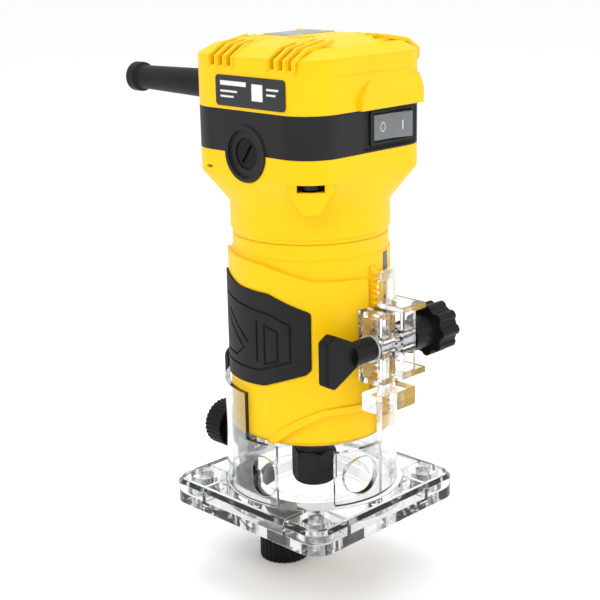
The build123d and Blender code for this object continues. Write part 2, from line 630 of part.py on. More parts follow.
# the whole clear moulding, divided below where its walls stand on the plate
with BuildPart() as clear_moulding:
    with BuildSketch():
        RectangleRounded(2 * plate_half, 2 * plate_half, plate_corner)
    extrude(amount=plate_h)
    chamfer(clear_moulding.faces().sort_by(Axis.Z)[-1].edges(), 1.6)
    # pockets between the rim, the ribs and the ring under the walls
    with BuildSketch(Plane.XY.offset(plate_floor)):
        RectangleRounded(2 * (plate_half - rim_wall), 2 * (plate_half - rim_wall), plate_corner - rim_wall)
        Circle(guard_out + 0.8, mode=Mode.SUBTRACT)
        with GridLocations(2 * boss_at, 2 * boss_at, 2, 2):
            Circle(boss_r, mode=Mode.SUBTRACT)
        for rib_at in (-24.0, 24.0):
            with Locations((rib_at, 0)):
                Rectangle(rib_wall, 2 * plate_half, mode=Mode.SUBTRACT)
            with Locations((0, rib_at)):
                Rectangle(2 * plate_half, rib_wall, mode=Mode.SUBTRACT)
    extrude(amount=plate_h, mode=Mode.SUBTRACT)
    with BuildSketch(Plane.XY.offset(plate_floor)):
        with GridLocations(2 * boss_at, 2 * boss_at, 2, 2):
            Circle(boss_r)
    extrude(amount=boss_h - plate_floor)
    with BuildSketch():
        with GridLocations(2 * boss_at, 2 * boss_at, 2, 2):
            Circle(insert_r)
    extrude(amount=boss_h, mode=Mode.SUBTRACT)
    with BuildSketch():
        Circle(throat_r)
    extrude(amount=plate_h, mode=Mode.SUBTRACT)
    # walls around the cutter and the sleeve around the barrel
    add(ring_sector(guard_r, guard_out, plate_h - 1, guard_top, 88, 176))
    add(ring_sector(guard_r, guard_out, plate_h - 1, front_guard_top + 3, 174, 200))
    add(ring_sector(sleeve_r, sleeve_out, plate_h - 1, front_guard_top, 238, 278))
    add(ring_sector(sleeve_r, sleeve_out, plate_h - 1, sleeve_top, 276.5, 454))
    # guide block behind
    add(block(-9.0, 9.0, sleeve_r + 0.6, plate_half, plate_h - 1, block_top))
    # clamp ears: open boxes with a boss around the bolt, joined below the gap
    add(block(ear_left, gap_left, -ear_front, -(sleeve_r + 0.5), ear_low, ear_high))
    add(block(gap_right, ear_right, -ear_front, -(sleeve_r - 2.0), ear_low, ear_high))
    add(block(ear_left, ear_right, -ear_front, -(guard_r + 0.6), bridge_low, ear_low - 4.5))
    add(block(ear_left, gap_left, -ear_front, -ear_front + 2.6, bridge_low, ear_low + 1))
    add(block(gap_right, ear_right, -(guard_r + 2.0), -(sleeve_r - 2.0), bridge_low, ear_low + 1))
    add(block(ear_right - 1, flange_right, -ear_front, -(sleeve_r - 6.0), ear_high - ear_skin, ear_high))
    add(block(ear_right - 1, flange_right, -ear_front, -(sleeve_r - 6.0), ear_low, ear_low + ear_skin))
    add(block(ear_left - 1, gap_left - ear_skin, -ear_front + ear_skin, -(guard_r + 1.2),
              ear_low + ear_skin, ear_high - ear_skin), mode=Mode.SUBTRACT)
    add(block(gap_right + ear_skin, ear_right + 1, -ear_front + ear_skin, -(guard_r + 1.2),
              ear_low + ear_skin, ear_high - ear_skin), mode=Mode.SUBTRACT)
    with BuildSketch(Plane.YZ.offset(ear_left)):
        with Locations((clamp_y, clamp_z)):
            Circle(5.6)
    extrude(amount=ear_w)
    with BuildSketch(Plane.YZ.offset(gap_right)):
        with Locations((clamp_y, clamp_z)):
            Circle(5.8)
    extrude(amount=ear_w)
    # barrel space, rack space, bolt holes, windows
    with BuildSketch(Plane.XY.offset(plate_h)):
        Circle(sleeve_r)
    extrude(amount=sleeve_top, mode=Mode.SUBTRACT)
    with BuildSketch(Plane.XY.offset(bridge_low - 1)):
        Circle(guard_r)
        with Locations((gap_right / 2 + 50, 0)):
            Rectangle(100 - gap_right, 200, mode=Mode.SUBTRACT)
        with Locations((0, 60)):
            Rectangle(200, 140, mode=Mode.SUBTRACT)
    extrude(amount=sleeve_top, mode=Mode.SUBTRACT)
    with BuildSketch(Plane.YZ.offset(ear_left - 1)):
        with Locations((clamp_y, clamp_z)):
            Circle(bolt_r + run_gap)
    extrude(amount=ear_w + 2, mode=Mode.SUBTRACT)
    with BuildSketch(Plane.YZ.offset(gap_right - 0.5)):
        with Locations((clamp_y, clamp_z)):
            Circle(pinion_tube_r + run_gap)
    extrude(amount=ear_w + 2, mode=Mode.SUBTRACT)
    with BuildSketch(side_plane(190, sleeve_r - 2)):
        with Locations((0, 22.0)):
            SlotOverall(17.0, 11.0, rotation=90)
    extrude(amount=8, mode=Mode.SUBTRACT)
    with BuildSketch(side_plane(258, sleeve_r - 2)):
        with Locations((0, 21.5)):
            Circle(8.0)
    extrude(amount=8, mode=Mode.SUBTRACT)
    with BuildSketch(side_plane(287, sleeve_r - 2)):
        with Locations((0, sleeve_top - 7.6)):
            RectangleRounded(7.0, 9.0, 1.6)
    extrude(amount=8, mode=Mode.SUBTRACT)
    with BuildSketch(Plane.XZ.offset(-plate_half - 1)):
        with Locations((0, guide_z)):
            Circle(stud_r)
    extrude(amount=9, mode=Mode.SUBTRACT)

with BuildPart() as plate_space:
    add(block(-plate_half - 5, plate_half + 5, -plate_half - 5, plate_half + 5, -1, plate_h))
    with BuildSketch(Plane.XY.offset(plate_h - 1)):
        with GridLocations(2 * boss_at, 2 * boss_at, 2, 2):
            Circle(boss_r + 0.1)
    extrude(amount=boss_h - plate_h + 2)

side_space = ring_sector(guard_r - 4, guard_out + 1, plate_h, guard_top + 1, 97, 201)
front_space = ring_sector(sleeve_r - 4, sleeve_out + 1, plate_h, front_guard_top + 1, 237, 276)

with BuildPart() as clear_plate:
    add(clear_moulding.part)
    add(plate_space.part, mode=Mode.INTERSECT)
save("clear_plate", clear_plate)

with BuildPart() as side_guard:
    add(clear_moulding.part)
    add(side_space, mode=Mode.INTERSECT)
save("side_guard", side_guard)

with BuildPart() as front_guard:
    add(clear_moulding.part)
    add(front_space, mode=Mode.INTERSECT)
save("front_guard", front_guard)

with BuildPart() as clamp_sleeve:
    add(clear_moulding.part)
    add(plate_space.part, mode=Mode.SUBTRACT)
    add(side_space, mode=Mode.SUBTRACT)
    add(front_space, mode=Mode.SUBTRACT)
save("clamp_sleeve", clamp_sleeve)

with BuildPart() as sole_inserts:
    with BuildSketch():
        with GridLocations(2 * boss_at, 2 * boss_at, 2, 2):
            Circle(insert_r)
            Circle(insert_hole_r, mode=Mode.SUBTRACT)
    extrude(amount=boss_h)
save("sole_inserts", sole_inserts)


# ---- clamp bolt, paddle, star knob and pinion ------------------------------------------------
def turned(plane, radius, length, hole=0.0):
    """Turned washer, boss or pin standing on a plane at the clamp axis."""
    with BuildPart() as piece:
        with BuildSketch(plane):
            with Locations((clamp_y, clamp_z)):
                Circle(radius)
                if hole:
                    Circle(hole, mode=Mode.SUBTRACT)
        extrude(amount=length)
    return piece.part


washer_t = 1.2
paddle_stem = 4.8
paddle_end = -36.0
star_collar = ear_right + 0.8
star_face = 23.5
star_end = 34.5
bolt_head_t = 4.0
bolt_end = -19.0
neck_x = -18.0        # where the paddle's wing meets its round neck
with BuildPart() as clamp_bolt:
    add(turned(Plane.YZ.offset(bolt_end), bolt_r, star_end - 6.0 - bolt_end))
    with BuildSketch(Plane.YZ.offset(star_end - 6.0)):
        with Locations((clamp_y, clamp_z)):
            RegularPolygon(5.0, 6)
    extrude(amount=bolt_head_t)
save("clamp_bolt", clamp_bolt)

with BuildPart() as clamp_washer:
    add(turned(Plane.YZ.offset(ear_left - washer_t), 5.6, washer_t, bolt_r))
save("clamp_washer", clamp_washer)

nut_r = 4.2
stem_end = ear_left - washer_t - 0.1
with BuildPart() as paddle_knob:
    with BuildSketch(Plane.XZ.offset(-clamp_y - 2.6)):
        add(outline([(neck_x + 1.5, clamp_z - 3.8), (neck_x + 1.5, clamp_z + 3.8), (-31.5, clamp_z + 11.0),
                     (paddle_end, clamp_z + 8.5), (paddle_end, clamp_z - 8.5), (-31.5, clamp_z - 11.0)], 1.8))
    extrude(amount=5.2)
    fillet(paddle_knob.faces().filter_by(Axis.Y).edges(), 1.0)
    add(turned(Plane.YZ.offset(neck_x - 3.0), paddle_stem, stem_end - neck_x + 3.0))
    add(turned(Plane.YZ.offset(bolt_end - 0.3), nut_r, 40.0), mode=Mode.SUBTRACT)
save("paddle_knob", paddle_knob)

with BuildPart() as paddle_nut:
    add(turned(Plane.YZ.offset(bolt_end - 0.3), nut_r, stem_end - bolt_end + 0.3, bolt_r + run_gap))
save("paddle_nut", paddle_nut)

with BuildPart() as star_knob:
    add(turned(Plane.YZ.offset(star_collar), 6.8, star_face - star_collar))
    with BuildSketch(Plane.YZ.offset(star_face)):
        with Locations((clamp_y, clamp_z)):
            Circle(9.4)
            with PolarLocations(8.5, 9, start_angle=20):
                Circle(2.3)
    extrude(amount=star_end - star_face)
    chamfer(star_knob.faces().sort_by(Axis.X)[-1].edges(), 0.8)
    add(turned(Plane.YZ.offset(star_collar - 1), bolt_r + run_gap, 40), mode=Mode.SUBTRACT)
    add(turned(Plane.YZ.offset(star_collar - 1), pinion_tube_r, 6.0), mode=Mode.SUBTRACT)
    add(turned(Plane.YZ.offset(star_end - 6.4), 5.6, 10), mode=Mode.SUBTRACT)
save("star_knob", star_knob)

face_w = 3.4
with BuildPart() as height_pinion:
    with BuildSketch(Plane.YZ.offset(rack_x - face_w / 2)):
        with Locations((clamp_y, clamp_z)):
            Circle(pitch_r - 1.1 * rack_module)
            with PolarLocations(0, pinion_teeth, start_angle=180 / pinion_teeth):
                add(outline([(pitch_r - 1.3 * rack_module, -0.78), (pitch_r, -0.5),
                             (pitch_r + 0.85 * rack_module, -0.2), (pitch_r + 0.85 * rack_module, 0.2),
                             (pitch_r, 0.5), (pitch_r - 1.3 * rack_module, 0.78)]))
    extrude(amount=face_w)
    add(turned(Plane.YZ.offset(rack_x), pinion_tube_r, star_collar + 5.0 - rack_x))
    add(turned(Plane.YZ.offset(rack_x - 5), bolt_r + run_gap, 40), mode=Mode.SUBTRACT)
save("height_pinion", height_pinion)


# ---- edge guide --------------------------------------------------------------------------------
strip_back = guide_face + strip_t
with BuildPart() as guide_bracket:
    with BuildSketch(Plane.XZ.offset(-strip_back)):
        with Locations((0, (strip_top + strip_low) / 2)):
            RectangleRounded(2 * strip_half, strip_top - strip_low, 4.0)
        with Locations((0, (slot_low + slot_high) / 2)):
            SlotOverall(slot_high - slot_low, 2 * slot_half, rotation=90, mode=Mode.SUBTRACT)
    extrude(amount=strip_t)
    add(block(-strip_half, strip_half, roller_y - 7.0, strip_back, strip_low, strip_low + strip_t))
    with BuildSketch(Plane.XY.offset(strip_low - 1)):
        with Locations((0, roller_y)):
            Circle(thread_r)
    extrude(amount=strip_t + 2, mode=Mode.SUBTRACT)
save("guide_bracket", guide_bracket)

guide_stud_end = strip_back + 13.0
shoulder_end = strip_back + 0.2
with BuildPart() as guide_stud:
    with BuildSketch(Plane.XZ.offset(-shoulder_end)):
        with Locations((0, guide_z)):
            Circle(stud_r)
    extrude(amount=shoulder_end - plate_half + 8.0)
    with BuildSketch(Plane.XZ.offset(-guide_stud_end)):
        with Locations((0, guide_z)):
            Circle(thread_r)
    extrude(amount=guide_stud_end - shoulder_end)
save("guide_stud", guide_stud)


def knurled(radius, ridges, plane, centre, thickness, hole):
    """Round knob with shallow grooves along its rim."""
    with BuildPart() as knob:
        with BuildSketch(plane):
            with Locations(centre):
                Circle(radius)
                with PolarLocations(radius + 0.35, ridges):
                    Circle(0.85, mode=Mode.SUBTRACT)
                Circle(hole, mode=Mode.SUBTRACT)
        extrude(amount=thickness)
    return knob.part


knob_face = strip_back + 3.4
with BuildPart() as guide_knob:
    add(knurled(knob_r, 30, Plane.XZ.offset(-knob_face - knob_t), (0, guide_z), knob_t, 3.6))
    with BuildSketch(Plane.XZ.offset(-knob_face)):
        with Locations((0, guide_z)):
            Circle(6.4)
            Circle(3.6, mode=Mode.SUBTRACT)
    extrude(amount=3.0)
save("guide_knob", guide_knob)

with BuildPart() as guide_knob_nut:
    with BuildSketch(Plane.XZ.offset(-knob_face - knob_t)):
        with Locations((0, guide_z)):
            Circle(3.6)
            Circle(thread_r + run_gap, mode=Mode.SUBTRACT)
    extrude(amount=knob_t + 3.0)
save("guide_knob_nut", guide_knob_nut)

roller_top = strip_low - 0.3
under_knob_top = roller_top - roller_h - 0.3
with BuildPart() as roller_stud:
    with BuildSketch(Plane.XY.offset(under_knob_top - under_knob_t + 1.0)):
        with Locations((0, roller_y)):
            Circle(thread_r)
    extrude(amount=strip_low + strip_t - under_knob_top + under_knob_t - 1.0)
    with BuildSketch(Plane.XY.offset(strip_low + strip_t)):
        with Locations((0, roller_y)):
            Circle(4.6)
    extrude(amount=1.6)
save("roller_stud", roller_stud)

with BuildPart() as guide_roller:
    with BuildSketch(Plane.XY.offset(roller_top - roller_h)):
        with Locations((0, roller_y)):
            Circle(roller_r)
            Circle(thread_r + run_gap, mode=Mode.SUBTRACT)
    extrude(amount=roller_h)
save("guide_roller", guide_roller)

with BuildPart() as roller_knob:
    add(knurled(under_knob_r, 28, Plane.XY.offset(under_knob_top - under_knob_t), (0, roller_y),
                under_knob_t, thread_r + run_gap))
save("roller_knob", roller_knob)


# ---- rotor -------------------------------------------------------------------------------------
shaft_top = upper_bearing_z + upper_bearing_h + 2.0
collet_top = collet_z + collet_len
socket_z = collet_top - 10.0   # the collet's stem seats in a socket in the spindle nose
socket_r = 4.6
spindle_r = 6.4
upper_journal_r = 3.4
with BuildPart() as armature_shaft:
    with BuildSketch(Plane.XZ):
        add(outline([(0, socket_z + 10.0), (0, shaft_top), (upper_journal_r, shaft_top),
                     (upper_journal_r, upper_bearing_z - 1.5), (shaft_r, upper_bearing_z - 1.5),
                     (shaft_r, fan_z + 12.0), (journal_r, fan_z + 12.0), (journal_r, nose_z + 1.0),
                     (spindle_r, nose_z + 1.0), (spindle_r, socket_z), (socket_r, socket_z),
                     (socket_r, socket_z + 10.0)]))
    revolve(axis=Axis.Z)
save("armature_shaft", armature_shaft)

with BuildPart() as collet:
    with BuildSketch(Plane.XZ):
        add(outline([(collet_bore_r, collet_z), (4.3, collet_z), (4.3, nut_low + 1.5), (5.9, nut_low + 6.0),
                     (5.9, socket_z - 0.5), (socket_r, socket_z - 0.5), (socket_r, collet_top),
                     (collet_bore_r, collet_top)]))
    revolve(axis=Axis.Z)
    with BuildSketch(Plane.XY.offset(collet_z)):
        with Locations((0, 0)):
            Rectangle(0.7, 14)
    extrude(amount=8.0, mode=Mode.SUBTRACT)
save("collet", collet)

nut_top = nut_low + nut_h
with BuildPart() as collet_nut:
    with BuildSketch(Plane.XY.offset(nut_low)):
        RegularPolygon(nut_flats / 2, 6, major_radius=False)
    extrude(amount=nut_h)
    with BuildSketch(Plane.XZ):
        add(outline([(7.0, nut_low), (nut_flats / 2 - 0.6, nut_low), (nut_flats / 2 + 1.4, nut_low + 1.6),
                     (nut_flats / 2 + 1.4, nut_top - 1.0), (nut_flats / 2 - 0.2, nut_top), (7.0, nut_top)]))
        with Locations((3.5, (nut_low + nut_top) / 2)):
            Rectangle(7.0, nut_h)
    revolve(axis=Axis.Z, mode=Mode.INTERSECT)
    with BuildSketch(Plane.XY.offset(nut_top)):
        Circle(8.0)
    extrude(amount=4.0)
    with BuildSketch(Plane.XZ):
        add(outline([(0, nut_low - 1), (4.3 + run_gap, nut_low - 1), (4.3 + run_gap, nut_low + 1.4),
                     (spindle_r + run_gap, nut_low + 6.0), (spindle_r + run_gap, nut_top + 5),
                     (0, nut_top + 5)]))
    revolve(axis=Axis.Z, mode=Mode.SUBTRACT)
save("collet_nut", collet_nut)

with BuildPart() as armature_core:
    with BuildSketch(Plane.XY.offset(core_low)):
        Circle(core_r)
        with PolarLocations(core_r - 3.2, 12):
            SlotOverall(6.0, 2.6, mode=Mode.SUBTRACT)
        Circle(shaft_r, mode=Mode.SUBTRACT)
    extrude(amount=core_h)
save("armature_core", armature_core)

core_top = core_low + core_h
with BuildPart() as armature_windings:
    for end_low, end_h in ((core_low - 8.0, 8.0), (core_top, 9.0)):
        with BuildSketch(Plane.XY.offset(end_low)):
            Circle(core_r - 1.6)
            Circle(shaft_r, mode=Mode.SUBTRACT)
        extrude(amount=end_h)
    with BuildSketch(Plane.XY.offset(core_low)):
        with PolarLocations(core_r - 3.2, 12):
            SlotOverall(5.6, 2.2)
    extrude(amount=core_h)
save("armature_windings", armature_windings)

commutator_low = brush_z - commutator_h / 2
with BuildPart() as commutator:
    with BuildSketch(Plane.XY.offset(commutator_low)):
        Circle(commutator_r)
        with PolarLocations(commutator_r, 24):
            Rectangle(1.2, 0.5, mode=Mode.SUBTRACT)
        Circle(shaft_r, mode=Mode.SUBTRACT)
    extrude(amount=commutator_h)
save("commutator", commutator)

with BuildPart() as cooling_fan:
    with BuildSketch(Plane.XY.offset(fan_z)):
        Circle(fan_r)
        Circle(journal_r, mode=Mode.SUBTRACT)
    extrude(amount=1.6)
    with BuildSketch(Plane.XY.offset(fan_z)):
        Circle(9.0)
        Circle(journal_r, mode=Mode.SUBTRACT)
    extrude(amount=9.0)
    with BuildSketch(Plane.XY.offset(fan_z)):
        with PolarLocations(16.6, 11):
            Rectangle(16.5, 1.4, rotation=28)
    extrude(amount=8.4)
    with BuildSketch(Plane.XY.offset(fan_z)):
        Circle(fan_r + 10)
        Circle(fan_r, mode=Mode.SUBTRACT)
    extrude(amount=12, mode=Mode.SUBTRACT)
save("cooling_fan", cooling_fan)


# ---- stator, bearings and brush gear ---------------------------------------------------------
def bearing(outer, bore, low, height):
    """Sealed ball bearing: one solid with recessed shields."""
    with BuildPart() as race:
        with BuildSketch(Plane.XY.offset(low)):
            Circle(outer)
            Circle(bore, mode=Mode.SUBTRACT)
        extrude(amount=height)
        for side in (low, low + height - 0.4):
            with BuildSketch(Plane.XY.offset(side)):
                Circle(outer - 1.8)
                Circle(bore + 1.6, mode=Mode.SUBTRACT)
            extrude(amount=0.4, mode=Mode.SUBTRACT)
    return race.part


with BuildPart() as lower_bearing:
    add(bearing(lower_bearing_r, journal_r + run_gap, lower_bearing_z, lower_bearing_h))
save("lower_bearing", lower_bearing)

retainer_z = lower_bearing_z + lower_bearing_h
with BuildPart() as bearing_retainer:
    with BuildSketch(Plane.XY.offset(retainer_z)):
        Circle(lower_bearing_r)
        Circle(journal_r + 3.0, mode=Mode.SUBTRACT)
    extrude(amount=fan_z - 2.0 - retainer_z)
save("bearing_retainer", bearing_retainer)

boot_t = 1.6
with BuildPart() as upper_bearing:
    add(bearing(upper_bearing_r, upper_journal_r + run_gap, upper_bearing_z, upper_bearing_h))
save("upper_bearing", upper_bearing)

with BuildPart() as bearing_boot:
    with BuildSketch(Plane.XY.offset(upper_bearing_z)):
        Circle(upper_bearing_r + boot_t)
        Circle(upper_bearing_r, mode=Mode.SUBTRACT)
    extrude(amount=upper_bearing_h + 1.2)
save("bearing_boot", bearing_boot)

stator_r = barrel_r - housing_wall
stator_low = core_low + 1.0
stator_h = core_h - 2.0
pole_r = core_r + air_gap
coil_slot_y = 19.0
coil_w = 7.0
with BuildPart() as stator_core:
    with BuildSketch(Plane.XY.offset(stator_low)):
        Circle(stator_r)
        Circle(pole_r, mode=Mode.SUBTRACT)
        with GridLocations(0, 2 * coil_slot_y, 1, 2):
            Rectangle(24.0, coil_w + 1.0, mode=Mode.SUBTRACT)
    extrude(amount=stator_h)
save("stator_core", stator_core)

with BuildPart() as field_coils:
    for side in (-1, 1):
        with BuildSketch(Plane.XY.offset(stator_low - 6.0)):
            with Locations((0, side * (coil_slot_y + 0.5))):
                RectangleRounded(23.0, coil_w, 2.0)
        extrude(amount=stator_h + 12.0)
save("field_coils", field_coils)

with BuildPart() as fan_baffle:
    with BuildSketch(Plane.XY.offset(fan_z + 11.0)):
        Circle(stator_r)
        Circle(fan_r - 6.0, mode=Mode.SUBTRACT)
    extrude(amount=1.6)
save("fan_baffle", fan_baffle)

# bearing bridge: carries the upper bearing boot and spans the head between the band walls
bridge_z = upper_bearing_z - 1.2
with BuildPart() as bearing_bridge:
    with BuildSketch(Plane.XY.offset(bridge_z)):
        Rectangle(2 * (head_half - head_wall), 16.0)
        Circle(upper_bearing_r + boot_t + 2.4)
        Circle(shaft_r + 1.0, mode=Mode.SUBTRACT)
    extrude(amount=1.2)
    with BuildSketch(Plane.XY.offset(upper_bearing_z)):
        Circle(upper_bearing_r + boot_t + 2.4)
        Circle(upper_bearing_r + boot_t, mode=Mode.SUBTRACT)
    extrude(amount=upper_bearing_h + 1.2)
save("bearing_bridge", bearing_bridge)

holder_in = commutator_r + 2.0
holder_out = head_half - 8.2
brush_w = 6.0
brush_t = 5.0
with BuildPart() as brush_holders:
    for side in (0, 180):
        with BuildSketch(side_plane(side, holder_in)):
            with Locations((0, brush_z)):
                Circle(brush_cap_r)
                Rectangle(brush_w, brush_t, mode=Mode.SUBTRACT)
        extrude(amount=holder_out - holder_in)
save("brush_holders", brush_holders)

brush_in = commutator_r + 0.08
with BuildPart() as carbon_brushes:
    for side in (0, 180):
        with BuildSketch(side_plane(side, brush_in)):
            with Locations((0, brush_z)):
                Rectangle(brush_w - 0.1, brush_t - 0.1)
        extrude(amount=9.0)
save("carbon_brushes", carbon_brushes)

with BuildPart() as brush_springs:
    for side in (0, 180):
        with BuildSketch(side_plane(side, brush_in + 9.0)):
            with Locations((0, brush_z)):
                Circle(2.2)
                Circle(1.5, mode=Mode.SUBTRACT)
        extrude(amount=holder_out - brush_in - 9.0)
save("brush_springs", brush_springs)

with BuildPart() as brush_caps:
    for side in (0, 180):
        with BuildSketch(side_plane(side, holder_out)):
            with Locations((0, brush_z)):
                Circle(brush_cap_r - 0.05)
        extrude(amount=head_half - 1.0 - holder_out)
        with BuildSketch(side_plane(side, head_half - 2.2)):
            with Locations((0, brush_z)):
                Rectangle(1.3, 9.0, rotation=-35)
        extrude(amount=4, mode=Mode.SUBTRACT)
save("brush_caps", brush_caps)
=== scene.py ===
"""Trim router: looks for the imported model. Metres, +Z up, origin on the spindle axis at the sole."""
import math

import bmesh
import bpy
from mathutils import Matrix, Vector


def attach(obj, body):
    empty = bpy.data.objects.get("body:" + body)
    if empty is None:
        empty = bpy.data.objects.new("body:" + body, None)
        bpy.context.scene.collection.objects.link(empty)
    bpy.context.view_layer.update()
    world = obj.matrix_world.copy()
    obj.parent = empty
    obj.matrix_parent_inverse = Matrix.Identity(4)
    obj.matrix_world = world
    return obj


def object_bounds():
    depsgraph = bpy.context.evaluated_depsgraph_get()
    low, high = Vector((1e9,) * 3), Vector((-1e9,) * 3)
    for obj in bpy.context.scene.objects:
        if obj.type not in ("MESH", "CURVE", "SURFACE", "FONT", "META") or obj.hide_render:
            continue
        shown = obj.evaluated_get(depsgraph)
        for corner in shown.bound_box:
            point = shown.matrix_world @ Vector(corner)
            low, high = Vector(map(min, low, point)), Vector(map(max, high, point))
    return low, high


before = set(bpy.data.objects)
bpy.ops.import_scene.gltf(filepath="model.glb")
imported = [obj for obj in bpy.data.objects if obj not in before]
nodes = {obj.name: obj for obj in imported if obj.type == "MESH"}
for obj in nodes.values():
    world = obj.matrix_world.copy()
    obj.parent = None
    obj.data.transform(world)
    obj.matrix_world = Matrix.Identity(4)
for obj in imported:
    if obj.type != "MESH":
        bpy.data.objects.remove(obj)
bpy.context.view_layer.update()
MM = 0.001

# sizes that the finishes share
EDGE_SAMPLES = 6
MOULD_TONE_PATCH = 14 * MM     # how far apart lighter and darker moulding lies
METAL_TONE_PATCH = 5 * MM
MOULD_GRAIN_DEPTH = 0.03 * MM
METAL_GRAIN_DEPTH = 0.02 * MM
POLISH_SCALE = 700             # fineness of the uneven polish on metal
POLISH_DOWN, POLISH_UP = 0.06, 0.08


# ---- finishes --------------------------------------------------------------------------------
def new_finish(name):
    """Empty node material with its shader and the object's own coordinates."""
    finish = bpy.data.materials.new(name)
    finish.use_nodes = True
    tree = finish.node_tree
    shader = tree.nodes["Principled BSDF"]
    place = tree.nodes.new("ShaderNodeTexCoord")
    return finish, tree, shader, place.outputs["Object"]


def soften_edges(tree, radius):
    """Rounded look on hard edges; its normal goes on to the grain."""
    edge = tree.nodes.new("ShaderNodeBevel")
    edge.samples = EDGE_SAMPLES
    edge.inputs["Radius"].default_value = radius
    return edge.outputs["Normal"]


def grain(tree, place, size, strength, depth, normal):
    """Fine moulded grain as bump over a starting normal."""
    noise = tree.nodes.new("ShaderNodeTexNoise")
    noise.inputs["Scale"].default_value = 1.0 / size
    noise.inputs["Detail"].default_value = 3.0
    tree.links.new(place, noise.inputs["Vector"])
    bump = tree.nodes.new("ShaderNodeBump")
    bump.inputs["Strength"].default_value = strength
    bump.inputs["Distance"].default_value = depth
    tree.links.new(noise.outputs["Fac"], bump.inputs["Height"])
    tree.links.new(normal, bump.inputs["Normal"])
    return bump.outputs["Normal"]


def vary(tree, place, size, low, high):
    """Slow variation between two colours."""
    noise = tree.nodes.new("ShaderNodeTexNoise")
    noise.inputs["Scale"].default_value = 1.0 / size
    noise.inputs["Detail"].default_value = 2.0
    tree.links.new(place, noise.inputs["Vector"])
    ramp = tree.nodes.new("ShaderNodeValToRGB")
    ramp.color_ramp.elements[0].position = 0.35
    ramp.color_ramp.elements[0].color = (*low, 1)
    ramp.color_ramp.elements[1].position = 0.68
    ramp.color_ramp.elements[1].color = (*high, 1)
    tree.links.new(noise.outputs["Fac"], ramp.inputs["Fac"])
    return ramp.outputs["Color"]


def shade(colour, factor):
    return tuple(min(1.0, c * factor) for c in colour)


def moulded(name, colour, rough, size=0.35 * MM, strength=0.25, spread=0.08, edge=0.5 * MM, coat=0.0,
            shine=0.35):
    """Moulded plastic: soft highlight, fine grain, slightly uneven tone."""
    finish, tree, shader, place = new_finish(name)
    tone = vary(tree, place, MOULD_TONE_PATCH, shade(colour, 1 - spread), shade(colour, 1 + spread))
    tree.links.new(tone, shader.inputs["Base Color"])
    shader.inputs["Roughness"].default_value = rough
    shader.inputs["Specular IOR Level"].default_value = shine
    shader.inputs["Coat Weight"].default_value = coat
    shader.inputs["Coat Roughness"].default_value = 0.12
    normal = grain(tree, place, size, strength, MOULD_GRAIN_DEPTH, soften_edges(tree, edge))
    tree.links.new(normal, shader.inputs["Normal"])
    return finish


def metal(name, colour, rough, size=0.5 * MM, strength=0.12, edge=0.3 * MM):
    """Turned or plated metal with a fine uneven polish."""
    finish, tree, shader, place = new_finish(name)
    tone = vary(tree, place, METAL_TONE_PATCH, shade(colour, 0.88), shade(colour, 1.08))
    tree.links.new(tone, shader.inputs["Base Color"])
    shader.inputs["Metallic"].default_value = 1.0
    noise = tree.nodes.new("ShaderNodeTexNoise")
    noise.inputs["Scale"].default_value = POLISH_SCALE
    tree.links.new(place, noise.inputs["Vector"])
    spread = tree.nodes.new("ShaderNodeMapRange")
    spread.inputs["To Min"].default_value = rough - POLISH_DOWN
    spread.inputs["To Max"].default_value = rough + POLISH_UP
    tree.links.new(noise.outputs["Fac"], spread.inputs["Value"])
    tree.links.new(spread.outputs["Result"], shader.inputs["Roughness"])
    normal = grain(tree, place, size, strength, METAL_GRAIN_DEPTH, soften_edges(tree, edge))
    tree.links.new(normal, shader.inputs["Normal"])
    return finish


def clear_moulding(name, colour, ears_end=None, wall_body=0.45):
    """Clear polycarbonate with faint flow marks; past ears_end on Y it thins to a wall with little body."""
    finish, tree, shader, place = new_finish(name)
    shader.inputs["Base Color"].default_value = (*colour, 1)
    if ears_end is not None:
        split = tree.nodes.new("ShaderNodeSeparateXYZ")
        tree.links.new(place, split.inputs["Vector"])
        body = tree.nodes.new("ShaderNodeMapRange")
        body.inputs["From Min"].default_value = ears_end
        body.inputs["From Max"].default_value = ears_end + 4 * MM
        body.inputs["To Min"].default_value = 1.0
        body.inputs["To Max"].default_value = wall_body
        tree.links.new(split.outputs["Y"], body.inputs["Value"])
        tree.links.new(body.outputs["Result"], shader.inputs["Alpha"])
    shader.inputs["Roughness"].default_value = 0.035
    shader.inputs["Transmission Weight"].default_value = 1.0
    shader.inputs["IOR"].default_value = 1.49
    normal = grain(tree, place, 9 * MM, 0.25, 0.08 * MM, soften_edges(tree, 0.5 * MM))
    tree.links.new(normal, shader.inputs["Normal"])
    return finish


yellow = moulded("yellow_moulding", (0.93, 0.56, 0.0), 0.42, strength=0.14, spread=0.02, edge=0.9 * MM,
                 shine=0.22)
band_black = moulded("black_grained_moulding", (0.012, 0.012, 0.013), 0.48, size=0.3 * MM, strength=0.6,
                     spread=0.15, shine=0.22)
knob_black = moulded("black_satin_moulding", (0.007, 0.007, 0.0075), 0.38, strength=0.3, spread=0.12,
                     shine=0.12)
pad_rubber = moulded("grip_rubber", (0.013, 0.013, 0.0135), 0.62, size=0.22 * MM, strength=0.7,
                     spread=0.15, shine=0.2)
cord_rubber = moulded("cord_guard_rubber", (0.014, 0.014, 0.0145), 0.5, size=0.3 * MM, strength=0.35,
                      spread=0.15, shine=0.12)
label_film = moulded("dark_label_film", (0.007, 0.0075, 0.009), 0.22, size=2 * MM, strength=0.05,
                     spread=0.1, coat=0.3)
rocker_grey = moulded("grey_rocker", (0.16, 0.17, 0.175), 0.3, size=2 * MM, strength=0.05, spread=0.06)
white_print = moulded("white_print", (0.8, 0.8, 0.8), 0.4, size=1 * MM, strength=0.05, spread=0.03)
grey_nylon = moulded("grey_nylon", (0.2, 0.21, 0.22), 0.5)
carbon = moulded("carbon_block", (0.03, 0.03, 0.032), 0.55)
